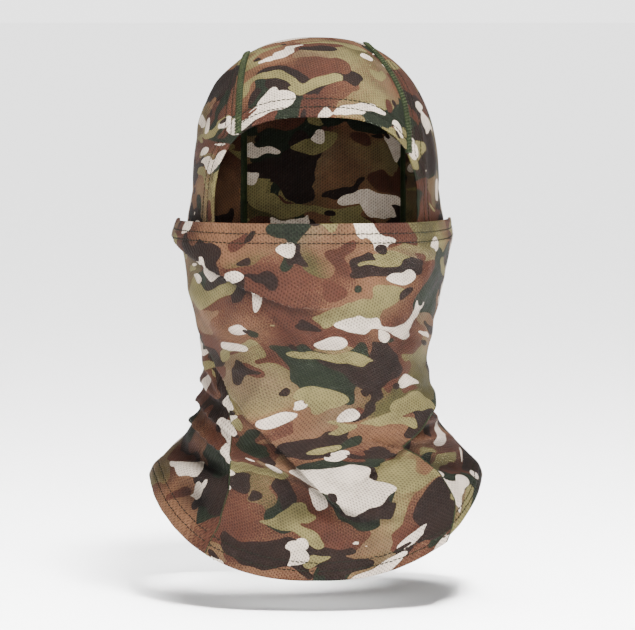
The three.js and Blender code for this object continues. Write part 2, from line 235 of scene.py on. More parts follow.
def side_panel(side):
    def place(u, v):
        t = LAST * (1 - np.minimum(v / BELOW_BROW, 1))
        sizes = level(t)
        front = sizes["edge"] + side * SEAM_TWIST * ease(t, THROAT - 1, THROAT + 1)
        tucked = np.interp(t, *FRONT_EDGE[side]) - TUCKED
        front = np.where(t > CHEEK + 1, np.minimum(front, tucked), front)
        back = 180 - angle_of(sizes["half"], seam_half(sizes["seam"], side) + HALF_JOINT)
        below = around(sizes, side * (front + (back - front) * u))
        turn = np.maximum(v - BELOW_BROW, 0) / (1 - BELOW_BROW) * TOP_TURN
        seam = crown_half(side, turn) + HALF_JOINT
        z = BROW + DOME * plane_share(seam) * np.sin(turn) ** (2 / ROUND)
        shrink = (1 - np.clip((z - BROW) / DOME, 0, 1) ** ROUND) ** (1 / ROUND)
        dome = {name: LEVELS[0, NAMES.index(name)] * MM * shrink for name in ("half", "fore", "aft")}
        dome |= {"side": z, "front": z, "back": z}
        front = angle_of(dome["half"], np.maximum(seam, arch_half(z)))
        back = 180 - angle_of(dome["half"], seam)
        above = around(dome, side * (front + (back - front) * u))
        return np.where((v <= BELOW_BROW)[..., None], below, above)

    return place


def front_panel(u, v):
    t = LAST + (NOSE - LAST) * v
    right, left = (np.interp(t, *FRONT_EDGE[side]) for side in (-1, 1))
    return around(level(t), -right + (left + right) * u, "mask")


print("nose at", np.round(front_panel(np.array(0.5), np.array(1.0)) / MM), "mm")


# %% Spread the points of a panel
FINE, COARSE = 0.9 * MM, 1.9 * MM  # from one point to the next, in a hem and elsewhere
SAMPLES = 400


def shares(line, fine_ends):
    """Shares of a line whose points are close together near its hemmed ends and further apart between."""
    even = np.linspace(0, 1, SAMPLES)
    points = line(even)
    gone = np.concatenate([[0], np.cumsum(np.linalg.norm(np.diff(points, axis=0), axis=1))])
    stops, room = [0.0], HEM + 2 * MM
    while stops[-1] < gone[-1]:
        here = stops[-1]
        close = (fine_ends[0] and here < room) or (fine_ends[1] and here > gone[-1] - room)
        stops.append(here + (FINE if close else COARSE))
    stops = np.array(stops) * gone[-1] / stops[-1]
    return np.interp(stops, gone, even)


def normals_of(points):
    """Unit normals of a grid of points, turned away from the middle of the head and neck."""
    across, along = np.gradient(points, axis=0), np.gradient(points, axis=1)
    normal = np.cross(across, along)
    normal /= np.maximum(np.linalg.norm(normal, axis=-1, keepdims=True), 1e-12)
    core = points.copy()
    core[..., 2] -= np.minimum(core[..., 2], BROW)
    if (normal * core).sum() < 0:
        normal = -normal
    return normal


def lay_out(surface, fine_u, fine_v):
    """A grid of points on a panel, their normals, and the flat place of each in the cut cloth."""
    u = shares(lambda s: surface(s, np.full_like(s, 0.5)), fine_u)
    v = shares(lambda s: surface(np.full_like(s, 0.5), s), fine_v)
    points = surface(*np.meshgrid(u, v, indexing="ij"))
    steps_u = np.linalg.norm(np.diff(points, axis=0), axis=-1)
    steps_v = np.linalg.norm(np.diff(points, axis=1), axis=-1)
    cut_u = np.concatenate([np.zeros((1, len(v))), np.cumsum(steps_u, axis=0)])
    cut_u -= cut_u[len(u) // 2]
    cut_v = np.concatenate([[0], np.cumsum(steps_v[len(u) // 2])])
    cut = np.stack(np.broadcast_arrays(cut_u, cut_v[None, :]), axis=-1)
    return {"points": points, "normals": normals_of(points), "cut": cut}


panels = {
    "crown": lay_out(crown_panel, (False, False), (True, True)),
    "left": lay_out(side_panel(1), (True, False), (True, False)),
    "right": lay_out(side_panel(-1), (True, False), (True, False)),
    "front": lay_out(front_panel, (False, False), (True, True)),
}
for name, cloth in panels.items():
    print(name, "panel:", cloth["points"].shape[:2], "points")

# %% [markdown]
# ## Folds
# Thin knit gathers where it is squeezed and falls in a few long creases. They could come from a simulation,
# but then nobody chooses where they lie. Here each fold is a line drawn across the front of the mask. The
# cloth on its left stands proud and drops off steeply on its right, so it throws a shadow as a real fold does.

# %% The folds
# The folds of each panel: a line as (x, z) in mm seen from the front, its height, the widths of its high side
# and its steep side, and how far its crest slides over the steep side.
FOLDS = {
    "front": (
        # swag under the wearer's right cheek
        (((-90, -122), (-66, -136), (-38, -152), (-14, -163), (6, -166)), 8.5, 13, 1.8, 3.5),
        (((-84, -150), (-66, -168), (-54, -190)), 2.2, 7, 5, 0),
        # long crease from the wearer's right side of the throat to the chest
        (((-60, -206), (-34, -240), (-10, -266), (20, -302)), 8.0, 28, 1.3, 3.5),
        # swell across the chest, and the hollow under it
        (((-50, -266), (-30, -267), (-6, -276), (16, -292), (34, -301), (60, -299)), 7.0, 10, 3.4, 1.5),
        (((-30, -300), (0, -296)), -4.0, 12, 9, 0),
        (((44, -290), (62, -283)), 2.6, 9, 5, 0),
        # the deep fold's edges: down to its point, and out again to the hem
        (((40, -268), (56, -250), (80, -226)), 8.0, 20, 1.4, 3.0),
        (((82, -326), (84, -300), (72, -279), (58, -265), (46, -259)), 9.0, 20, 1.6, 2.0),
        # pull lines on the face
        (((-4, -206), (-26, -182), (-46, -158)), 2.0, 9, 6, 0),
        (((66, -176), (54, -206), (36, -240)), 2.4, 9, 6, 0),
        (((74, -136), (60, -158), (52, -176)), 2.2, 7, 4, 0),
        (((-26, -214), (-44, -246)), 1.8, 8, 5, 0),
        (((10, -206), (-2, -232)), 1.2, 8, 6, 0),
        (((84, -128), (66, -133), (44, -131)), 1.8, 5, 4, 0),
    ),
    "left": (
        # level folds beside the throat
        (((44, -234), (66, -233), (94, -236)), 3.2, 3.2, 2.4, 0.8),
        (((44, -244), (68, -244), (98, -248)), 3.6, 3.4, 2.4, 1.0),
        (((48, -255), (70, -256), (102, -262)), 4.2, 3.8, 2.4, 1.2),
        (((60, -269), (80, -271), (106, -275)), -7.0, 6, 5, 0),
        (((78, -150), (72, -172), (68, -196)), 2.6, 4, 2.4, 1.0),
        # small creases beside the crown seams
        (((70, -52), (74, -76), (74, -100)), 2.4, 3.0, 1.8, 0),
        (((64, -48), (68, -72), (68, -96)), 2.0, 2.6, 1.6, 0),
    ),
    "right": (
        # gathers beside the throat
        (((-88, -214), (-70, -221), (-50, -236)), 4.6, 4.5, 1.8, 1.4),
        (((-88, -226), (-70, -236), (-50, -252)), 5.0, 4.8, 1.8, 1.4),
        (((-94, -240), (-76, -249), (-52, -268)), 5.6, 5.2, 1.8, 1.6),
        (((-94, -262), (-76, -268), (-56, -277)), -8.0, 6, 6, 0),
        (((-94, -284), (-82, -290), (-72, -301)), -7.0, 9, 8, 0),
        (((-72, -196), (-66, -212), (-56, -226)), 3.4, 4.0, 2.0, 1.0),
        (((-80, -150), (-76, -176), (-70, -200)), 2.6, 4.0, 2.4, 1.0),
        # small creases beside the crown seams
        (((-74, -46), (-66, -32), (-54, -20)), 2.0, 2.6, 1.6, 0),
        (((-78, -62), (-70, -46), (-58, -34)), 2.0, 2.6, 1.6, 0),
    ),
}
print({name: len(folds) for name, folds in FOLDS.items()}, "folds")

# %% What a fold does to the cloth
FADE = 0.6  # below 1, so that a fold keeps its height for most of its length
STRONG_FOLD = 6  # mm; a fold this high gets the darkest painted shade at its foot


def fold(points, normals, line, height, high_side, steep_side, slide):
    """How far a fold moves each point, and how much painted shade each one gets at the fold's foot."""
    line = np.array(line, float) * MM
    seen = points[..., [0, 2]]
    nearest = np.full(seen.shape[:-1], np.inf)
    offset, share = np.zeros_like(nearest), np.zeros_like(nearest)
    away = np.zeros_like(seen)
    lengths = np.linalg.norm(np.diff(line, axis=0), axis=1)
    for k, (start, end) in enumerate(zip(line, line[1:])):
        run = (end - start) / lengths[k]
        along = np.clip((seen - start) @ run, 0, lengths[k])
        gap = seen - start - along[..., None] * run
        distance = np.linalg.norm(gap, axis=-1)
        left = np.array([-run[1], run[0]])
        closer = distance < nearest
        nearest = np.where(closer, distance, nearest)
        offset = np.where(closer, distance * np.where(gap @ left < 0, -1, 1), offset)
        share = np.where(closer, (lengths[:k].sum() + along) / lengths.sum(), share)
        away = np.where(closer[..., None], -left, away)
    width = np.where(offset > 0, high_side, steep_side) * MM
    profile = np.exp(-((offset / width) ** 2)) * np.sin(np.pi * (0.06 + 0.88 * share)) ** FADE
    profile *= ease(-points[..., 1], -10 * MM, 20 * MM)  # only on the front half of the mask
    move = normals * (height * MM * profile)[..., None]
    move[..., 0] += slide * MM * profile * away[..., 0]
    move[..., 2] += slide * MM * profile * away[..., 1]
    # The painted shade at the foot lies just below the crest, where the slide hides the steep side.
    below_crest = offset + (1.1 * steep_side + 0.9 * slide) * MM
    foot_shade = np.exp(-((below_crest / ((1.4 + 0.6 * slide) * MM)) ** 2))
    if height < 0:  # a hollow's painted shade is darkest along its own line
        foot_shade = np.exp(-((offset / width) ** 2))
    taper = np.sin(np.pi * np.clip(share, 0.03, 0.97)) ** FADE
    return move, foot_shade * taper * min(1, abs(height) / STRONG_FOLD)


def unevenness(points, size, seed):
    """Smooth random values from about -1 to 1 that change over this size."""
    flat = points.reshape(-1, 3) / size + seed
    return np.array([noise.noise(Vector(p)) for p in flat]).reshape(points.shape[:-1])


HEM_PROUD = 0.5 * MM
GROOVE_DEPTH, GROOVE_WIDTH = 0.45 * MM, 1.1 * MM


def hem_relief(distance):
    """The doubled hem stands a little proud and is drawn down along its two rows of stitches."""
    relief = HEM_PROUD * (1 - ease(distance, HEM - 1 * MM, HEM + 1.5 * MM))
    for row in NEEDLE_ROWS:
        relief = relief - GROOVE_DEPTH * np.exp(-(((distance - row) / GROOVE_WIDTH) ** 2))
    return relief


def from_edge(points, axis, last=False):
    """The distance of each point of a grid from one of its edges, measured along the cloth."""
    ordered = np.flip(points, axis) if last else points
    steps = np.linalg.norm(np.diff(ordered, axis=axis), axis=-1)
    start = np.zeros_like(np.take(steps, [0], axis))
    gone = np.concatenate([start, np.cumsum(steps, axis=axis)], axis=axis)
    return np.flip(gone, axis) if last else gone


# %% [markdown]
# Between its folds, real cloth is never quite even. Slow random ripples, and level rings where the throat is
# squeezed, could be sculpted; noise gives them with one line each, the same on every run.

# %% Shape every panel
# The hemmed edges of each panel: the axis of its grid that ends there, and whether it is that axis's last end.
HEMMED = {"crown": ((1, False), (1, True)), "front": ((1, False), (1, True)),
          "left": ((0, False), (1, False)), "right": ((0, False), (1, False))}
RIPPLES = ((1.5, 30 * MM, 3.1), (0.6, 11 * MM, 7.7))  # height in mm, size and seed of each
RING_HEIGHT, RING_APART, RING_SEED = 2.6 * MM, 10 * MM, 1.7
NECK, NECK_SPREAD = -222, 30  # mm
for name, cloth in panels.items():
    points, normals = cloth["points"], cloth["normals"]
    moved, painted_fold_shade = points.copy(), np.zeros(points.shape[:-1])
    if name == "front":  # higher over the stitches at the cheeks than at the seams
        throat = ease(-points[..., 2], 165 * MM, 215 * MM)
        moved += normals * (LIFT_AT_CHEEK + (LIFT_OVER_SEAM - LIFT_AT_CHEEK) * throat)[..., None]
    at_seam = 1.0 if name == "front" else ease(from_edge(points, 0, last=True), 0, 9 * MM)[..., None]
    # Each fold moves the cloth and paints shade at its foot; the darkest painted shade of any fold is kept.
    for line, *sizes in FOLDS.get(name, ()):
        move, foot_shade = fold(points, normals, line, *sizes)
        moved += move * at_seam
        painted_fold_shade = np.maximum(painted_fold_shade, foot_shade)
    ripple = sum(height * unevenness(points, size, seed) for height, size, seed in RIPPLES)
    moved += normals * (ripple * MM * ease(-points[..., 2], 60 * MM, 150 * MM))[..., None]
    squeezed = np.exp(-(((points[..., 2] / MM - NECK) / NECK_SPREAD) ** 2))
    rings = unevenness(points * (0.3, 0.3, 1.0), RING_APART, RING_SEED) * squeezed
    moved += normals * (RING_HEIGHT * rings)[..., None]
    normals = normals_of(moved)
    for axis, last in HEMMED[name]:
        moved += normals * hem_relief(from_edge(moved, axis, last))[..., None]
    cloth["points"], cloth["normals"] = moved, normals_of(moved)
    cloth["painted_fold_shade"] = painted_fold_shade[..., None]
    furthest = float(np.linalg.norm(moved - points, axis=-1).max())
    print(name, "panel moved by up to", round(furthest / MM, 1), "mm")

# %% [markdown]
# ## From points to cloth
# A turned hem is the same cloth rolled over its own edge and sewn down inside. A separate strip would show a
# crack at the edge, so each grid simply goes on past its edge, round a small roll and back along the inside.
# Every panel starts as Blender's grid, takes its points from above, and gets its thickness from Solidify.

# %% Roll the hems over
ROLL = 1.0 * MM  # radius of the roll
TURN_STEPS = 6
ALLOWANCE = 3 * MM  # turned under where an edge is sewn in and not hemmed


def at_distance(grid, gone, distance):
    """A grid's values in each column, at a distance gone along it."""
    columns = range(grid.shape[1])
    distance = np.broadcast_to(distance, len(columns))
    return np.array([[np.interp(distance[j], gone[:, j], grid[:, j, k]) for k in range(3)] for j in columns])


def roll_over(cloth, axis, last, depth):
    """The same grid with its edge rolled inwards and laid back along the inside, to a depth of its own."""
    if last:
        flipped = {key: np.flip(value, axis) for key, value in cloth.items()}
        rolled = roll_over(flipped, axis, False, depth)
        return {key: np.flip(value, axis) for key, value in rolled.items()}
    points, normals, cut = (np.swapaxes(cloth[key], 0, axis) for key in ("points", "normals", "cut"))
    out = points[0] - points[1]
    out /= np.linalg.norm(out, axis=-1, keepdims=True)
    cut_out = cut[0] - cut[1]
    cut_out /= np.linalg.norm(cut_out, axis=-1, keepdims=True)
    gone = from_edge(points, 0)
    new_points, new_normals, new_cut = [], [], []
    painted_fold_shade = np.swapaxes(cloth["painted_fold_shade"], 0, axis)
    for a in np.linspace(0, np.pi, TURN_STEPS + 1)[1:]:
        turned = out * np.sin(a) + normals[0] * np.cos(a)
        new_points.append(points[0] + ROLL * (turned - normals[0]))
        new_normals.append(turned)
        new_cut.append(cut[0] + cut_out * ROLL * a)
    rows = int(round(HEM / FINE))
    for k in range(1, rows + 1):
        reach = depth * k / rows
        facing = at_distance(normals, gone, reach)
        new_points.append(at_distance(points, gone, reach) - 2 * ROLL * facing)
        new_normals.append(-facing)
        new_cut.append(cut[0] + cut_out * (ROLL * np.pi + reach[:, None]))
    result = {}
    for key, old, new in (("points", points, new_points), ("normals", normals, new_normals),
                          ("cut", cut, new_cut), ("painted_fold_shade", painted_fold_shade, [painted_fold_shade[0]] * len(new_points))):
        result[key] = np.swapaxes(np.concatenate([np.array(new[::-1]), old]), 0, axis)
    return result


def turned_panel(name):
    """A panel with all its hems rolled over."""
    cloth = panels[name]
    for axis, last in HEMMED[name]:
        crossing = np.take(cloth["points"], -1 if last else 0, axis)
        depth = np.full(len(crossing), HEM)
        if axis == 0:  # a full hem beside the eyes only
            depth = ALLOWANCE + (HEM - ALLOWANCE) * ease(crossing[:, 2], -140 * MM, -126 * MM)
        cloth = roll_over(cloth, axis, last, depth)
    return cloth


turned = {name: turned_panel(name) for name in panels}
print({name: cloth["points"].shape[:2] for name, cloth in turned.items()})


# %% Grids of cloth
SHARP = math.radians(60)  # a sharper bend stays a hard edge


def only(obj):
    """Selects one object and makes it active."""
    bpy.ops.object.select_all(action="DESELECT")
    obj.select_set(True)
    bpy.context.view_layer.objects.active = obj


def apply_modifier(obj, kind, **settings):
    only(obj)
    modifier = obj.modifiers.new(kind.title(), kind)
    for key, value in settings.items():
        setattr(modifier, key, value)
    bpy.ops.object.modifier_apply(modifier=modifier.name)


def cloth_object(name, cloth):
    """A grid with the panel's points, its flat places as a UV map and the painted shade of its folds' feet as an
    attribute.
    """
    rows, columns = cloth["points"].shape[:2]
    bpy.ops.object.select_all(action="DESELECT")
    bpy.ops.mesh.primitive_grid_add(x_subdivisions=rows - 1, y_subdivisions=columns - 1, size=1)
    obj = bpy.context.object
    obj.name = obj.data.name = name
    mesh = obj.data
    flat = np.empty(len(mesh.vertices) * 3)
    mesh.vertices.foreach_get("co", flat)
    flat = flat.reshape(-1, 3) + 0.5
    i = np.rint(flat[:, 0] * (rows - 1)).astype(int)
    j = np.rint(flat[:, 1] * (columns - 1)).astype(int)
    mesh.vertices.foreach_set("co", cloth["points"][i, j].ravel())
    corners = np.empty(len(mesh.loops), int)
    mesh.loops.foreach_get("vertex_index", corners)
    shade = mesh.attributes.new("painted_fold_shade", "FLOAT", "POINT")
    shade.data.foreach_set("value", cloth["painted_fold_shade"][i, j].ravel())
    mesh.uv_layers[0].name = "cut"
    mesh.uv_layers[0].data.foreach_set("uv", cloth["cut"][i, j][corners].ravel())
    mesh.update()
    facing = np.empty(len(mesh.vertices) * 3)
    mesh.vertices.foreach_get("normal", facing)
    if (facing.reshape(-1, 3) * cloth["normals"][i, j]).sum() < 0:
        only(obj)
        bpy.ops.object.mode_set(mode="EDIT")
        bpy.ops.mesh.select_all(action="SELECT")
        bpy.ops.mesh.flip_normals()
        bpy.ops.object.mode_set(mode="OBJECT")
    apply_modifier(obj, "SOLIDIFY", thickness=CLOTH, offset=-1)
    only(obj)
    bpy.ops.object.shade_smooth_by_angle(angle=SHARP)
    return obj


PIECES = {"crown": "crown_cloth", "left": "left_side_cloth", "right": "right_side_cloth", "front": "front_cloth"}
cloths = {name: cloth_object(piece, turned[name]) for name, piece in PIECES.items()}
for obj in cloths.values():
    print(obj.name, len(obj.data.polygons), "faces")

# %% [markdown]
# ## Seams and stitches that lie on the cloth
# A raised seam and a row of stitches both follow a path along the cloth. A curve with a bevel would roll round
# its path, so the pattern is modelled once in a flat strip and laid along the path instead: across the path,
# along it, and up from the cloth. Whatever folds the cloth then carries its seams and stitches with it.

# %% Paths along the cloth
def path_at(name, axis, distance, last=False):
    """Points and normals of a panel on a line that keeps this distance from one of its edges."""
    cloth = panels[name]
    way = -1 if last else 1
    gone = np.swapaxes(from_edge(cloth["points"], axis, last), 0, axis)[::way]
    grids = (np.swapaxes(cloth[key], 0, axis)[::way] for key in ("points", "normals"))
    return [at_distance(grid, gone, distance) for grid in grids]


def length_of(path):
    return float(np.linalg.norm(np.diff(path[0], axis=0), axis=1).sum())


def read_off(places, gone, values):
    """Rows of three values, read at these places between the distances at which they are known."""
    return np.stack([np.interp(places, gone, values[:, k]) for k in range(3)], axis=1)


def laid_along(path, flat):
    """Flat points (across, along, up) laid along a path."""
    gone = np.concatenate([[0], np.cumsum(np.linalg.norm(np.diff(path[0], axis=0), axis=1))])
    stops = np.linspace(0, gone[-1], max(3, int(gone[-1] / MM)))
    points, normals = (read_off(stops, gone, values) for values in path)
    ahead = np.gradient(points, axis=0)
    ahead /= np.linalg.norm(ahead, axis=1, keepdims=True)
    across = np.cross(ahead, normals)
    across /= np.linalg.norm(across, axis=1, keepdims=True)
    up = np.cross(across, ahead)
    place, side, rise = (read_off(flat[:, 1], stops, values) for values in (points, across, up))
    return place + side * flat[:, :1] + rise * flat[:, 2:]


print("forehead edge is", round(length_of(path_at("crown", 1, 0)) / MM), "mm long")


# %% Rows of one small shape, and ribbons
def vertex_places(obj):
    flat = np.empty(len(obj.data.vertices) * 3)
    obj.data.vertices.foreach_get("co", flat)
    return flat.reshape(-1, 3)


def lay(obj, path, flat):
    """Gives an object's vertices, in order, their places along a path."""
    obj.data.vertices.foreach_set("co", laid_along(path, flat).ravel())
    obj.data.update()
    only(obj)
    bpy.ops.object.shade_smooth()


def joined(objects, name):
    bpy.ops.object.select_all(action="DESELECT")
    for obj in objects:
        obj.select_set(True)
    bpy.context.view_layer.objects.active = objects[0]
    bpy.ops.object.join()
    objects[0].name = objects[0].data.name = name
    return objects[0]


ASIDE, TURNED = 2.4, 5.1  # steps through a sine that never fall into a rhythm


def row_of(master, path, pitch, uneven=0.0):
    """The small shape repeated along a path, each one a little differently placed."""
    row = master.copy()
    row.data = master.data.copy()
    bpy.context.collection.objects.link(row)
    length = length_of(path)
    count = max(2, round(length / pitch))
    pitch = length / count
    apply_modifier(row, "ARRAY", count=count, use_relative_offset=False, use_constant_offset=True,
                   constant_offset_displace=(0, pitch, 0))
    flat = vertex_places(row)
    flat[:, 1] += pitch / 2
    which = np.floor(flat[:, 1] / pitch)
    aside, turned_by = uneven * np.sin(which * ASIDE), uneven * np.sin(which * TURNED)
    flat[:, 0] += aside * MM + turned_by * (flat[:, 1] % pitch - pitch / 2)
    lay(row, path, flat)
    return row


BAND_STEP = 1.2 * MM
BAND_SUNK = 0.2 * MM  # how far a band's underside goes into the cloth


def ribbon_along(path, width, height, sink=0.0, over=True):
    """A half-round band along a path, on the outside of the cloth or the inside."""
    length = length_of(path)
    bpy.ops.object.select_all(action="DESELECT")
    bpy.ops.mesh.primitive_grid_add(x_subdivisions=8, y_subdivisions=max(4, int(length / BAND_STEP)), size=1)
    band = bpy.context.object
    apply_modifier(band, "SOLIDIFY", thickness=0.5, offset=-1)
    flat = vertex_places(band)
    x = flat[:, 0] * 2
    top = flat[:, 2] > -0.25
    rise = np.where(top, height * np.sqrt(np.maximum(1 - x**2, 0)), -BAND_SUNK) - sink
    if not over:
        rise, x = -CLOTH - rise, -x
    lay(band, path, np.stack([x * width / 2, (flat[:, 1] + 0.5) * length, rise], axis=1))
    return band


# %% [markdown]
# The crown seams are overlocked with a thick dark thread, which shows as a raised ladder. The ladder is a
# half-round band with a short strand laid slantwise over it every two millimetres. The strand is a sphere drawn
# out and bent over the band, because it needs no ends of its own.

# %% Small shapes
def drawn_out(name, sizes, segments, rings):
    """A sphere drawn out along the path, with its poles at its ends."""
    bpy.ops.object.select_all(action="DESELECT")
    bpy.ops.mesh.primitive_uv_sphere_add(segments=segments, ring_count=rings, radius=1)
    obj = bpy.context.object
    obj.name = name
    co = vertex_places(obj)
    obj.data.vertices.foreach_set("co", (co[:, [0, 2, 1]] * (1, -1, 1) * sizes).ravel() * MM)
    obj.data.update()
    only(obj)
    bpy.ops.object.mode_set(mode="EDIT")
    bpy.ops.mesh.select_all(action="SELECT")
    bpy.ops.mesh.normals_make_consistent(inside=False)
    bpy.ops.object.mode_set(mode="OBJECT")
    return obj


SEAM_WIDE, SEAM_HIGH = 5.0, 1.4  # mm
STRAND_SLANT = 0.45
STRAND_BEND = 3.1  # half the width in mm over which a strand bends down to the cloth
strand = drawn_out("strand", (0.6, 2.8, 0.5), 6, 7)
co = vertex_places(strand) / MM
across = co[:, 1]
over_band = SEAM_HIGH * np.sqrt(np.maximum(1 - (across / STRAND_BEND) ** 2, 0))
co = np.stack([across, STRAND_SLANT * across - co[:, 0], co[:, 2] + over_band], axis=1)
strand.data.vertices.foreach_set("co", co.ravel() * MM)
stitch = drawn_out("stitch", (0.46, 1.42, 0.4), 6, 5)
print("a strand has", len(strand.data.polygons), "faces and a stitch", len(stitch.data.polygons))

# %% Crown seams
STRAND_PITCH = 2.1 * MM
for name, last in (("left", True), ("right", False)):
    path = path_at("crown", 0, 0, last)
    outside = ribbon_along(path, SEAM_WIDE * MM, SEAM_HIGH * MM)
    inside = ribbon_along(path, 5.5 * MM, 0.9 * MM, over=False)
    joined([outside, inside], name + "_seam_band")
    loops = row_of(strand, path, STRAND_PITCH, 0.12)
    loops.name = loops.data.name = name + "_seam_strands"
    print(name, "crown seam:", round(length_of(path) / MM), "mm,", len(loops.data.polygons), "faces of strands")

# %% [markdown]
# The front panel is sewn to the side panels along its own edges. That seam is pressed flat, and what shows is
# a thin rolled edge with the thread sunk in it.

# %% Front seams
for name, last in (("left", True), ("right", False)):
    path = path_at("front", 0, 0.2 * MM, last)
    edge = joined([ribbon_along(path, 1.5 * MM, 0.4 * MM, sink=0.35 * MM)], name + "_front_edge_seam")
    print(edge.name, round(length_of(path) / MM), "mm")


# %% [markdown]
# Two rows of machine stitches hold down every hem, one near the edge and one near the raw end of the turning.
# They could be drawn in the material, but real ones catch the light, so each stitch is a small drawn-out sphere
# that sinks into the groove it makes.

# %% Rows of stitches
CLEAR_OF_EDGE = 0.02  # radians between the front panel's edge and a row that comes out from under it
EYE_ROW_END = -122 * MM  # just under the mask's top edge
ABOVE_CLOTH = 0.02 * MM
STITCH_PITCH = 3.0 * MM


def beyond_front(name, path):
    """The part of a side panel's row that the front panel leaves uncovered."""
    edge = path_at("front", 0, 0, name == "left")[0]
    limit = abs(math.atan2(edge[0, 0], -edge[0, 1]))
    keep = np.abs(np.arctan2(path[0][:, 0], -path[0][:, 1])) > limit + CLEAR_OF_EDGE
    return [a[keep] for a in path]


def above_mask(path):
    """The part of a row beside the eyes that the mask leaves uncovered."""
    keep = path[0][:, 2] > EYE_ROW_END
    return [a[keep] for a in path]


def sewn(name, paths):
    """One piece with a row of stitches along each path."""
    paths = [(points + ABOVE_CLOTH * normals, normals) for points, normals in paths]
    rows = [row_of(stitch, path, STITCH_PITCH, 0.15) for path in paths]
    row = joined(rows, name)
    print(name, round(sum(map(length_of, paths)) / MM), "mm,", len(row.data.polygons), "faces")


for where, depth in zip(("outer", "inner"), NEEDLE_ROWS):
    sewn("forehead_stitches_" + where, [path_at("crown", 1, depth)])
    sewn("mask_stitches_" + where, [path_at("front", 1, depth, True)])
    sides = [beyond_front(name, path_at(name, 1, depth)) for name in ("left", "right")]
    sewn("hem_stitches_" + where, [path_at("crown", 1, depth, True), path_at("front", 1, depth), *sides])
    for name in ("left", "right"):
        sewn(name + "_eye_stitches_" + where, [above_mask(path_at(name, 0, depth))])

# %% [markdown]
# ## Printed stretch knit
# The cloth is a fine warp knit with a mesh of small holes, printed with a camouflage of soft ground colours,
# hard-edged blots and pale pebbles. A picture could be wrapped round it, but a pattern grown from noise in the
# cut cloth's own millimetres breaks at the seams as printed cloth does, and needs no file.

# %% Writing shader maths as Python
class Value:
    """A socket of a material's node tree, with Python's operators on it."""

    def __init__(self, tree, socket):
        self.tree, self.socket = tree, socket

    def node(self, kind, settings=None, sockets=None, out=0):
        """Adds a node: its settings first, then the values or links of its sockets."""
        added = self.tree.nodes.new(kind)
        for key, value in (settings or {}).items():
            setattr(added, key, value)
        for key, value in (sockets or {}).items():
            if isinstance(value, Value):
                self.tree.links.new(value.socket, added.inputs[key])
            else:
                added.inputs[key].default_value = value
        return Value(self.tree, added.outputs[out])

    def maths(self, operation, *values):
        return self.node("ShaderNodeMath", {"operation": operation}, dict(enumerate(values)))

    def __add__(self, other):
        return self.maths("ADD", self, other)

    def __sub__(self, other):
        return self.maths("SUBTRACT", self, other)

    def __rsub__(self, other):
        return self.maths("SUBTRACT", other, self)

    def __mul__(self, other):
        return self.maths("MULTIPLY", self, other)

    def __gt__(self, other):
        return self.maths("GREATER_THAN", self, other)

    def __lt__(self, other):
        return self.maths("LESS_THAN", self, other)

    __radd__, __rmul__ = __add__, __mul__

    def sine(self):
        return self.maths("SINE", self)

    def ramp(self, low, high):
        """0 below low, 1 above high, and an even slope between."""
        return self.node("ShaderNodeMapRange", {"clamp": True},
                         {0: self, 1: low, 2: high, 3: 0.0, 4: 1.0})

    def blend(self, first, second):
        """The first colour where this is 0 and the second where it is 1."""
        return self.node("ShaderNodeMix", {"data_type": "RGBA"}, {0: self, 6: first, 7: second}, out=2)

    def moved(self, location=(0, 0, 0), turn=0.0, scale=(1, 1, 1)):
        return self.node("ShaderNodeMapping", None,
                         {"Vector": self, "Location": location, "Rotation": (0, 0, turn), "Scale": scale})

    def noise(self, size, detail=1.0, roughness=0.5, colour=False, kind="2D"):
        return self.node("ShaderNodeTexNoise", {"noise_dimensions": kind},
                         {"Vector": self, "Scale": 1 / size, "Detail": detail, "Roughness": roughness},
                         out=1 if colour else 0)


def srgb(red, green, blue):
    """A colour given as 0 to 255, as Blender's linear values."""
    parts = [c / 255 for c in (red, green, blue)]
    return [c / 12.92 if c < 0.04045 else ((c + 0.055) / 1.055) ** 2.4 for c in parts] + [1.0]


def new_material(name, uv="cut"):
    """A material, its shader, and the place in the cut cloth in millimetres."""
    material = bpy.data.materials.new(name)
    material.use_nodes = True
    tree = material.node_tree
    shader = tree.nodes["Principled BSDF"]
    start = Value(tree, None)
    if uv:
        place = start.node("ShaderNodeUVMap", {"uv_map": uv}).moved(scale=(1000, 1000, 1))
    else:
        place = start.node("ShaderNodeTexCoord", out=3).moved(scale=(1000, 1000, 1000))
    return material, shader, place


def into(shader, name, value):
    value.tree.links.new(value.socket, shader.inputs[name])


# %% Colours of the print
RED_BROWN, DARK_BROWN, COPPER = srgb(76, 43, 30), srgb(34, 21, 15), srgb(112, 78, 54)
DARK_GREEN, OLIVE, KHAKI = srgb(28, 34, 21), srgb(72, 66, 36), srgb(124, 114, 72)
TAUPE, CREAM = srgb(106, 86, 62), srgb(236, 218, 198)
print("eight inks in the print")


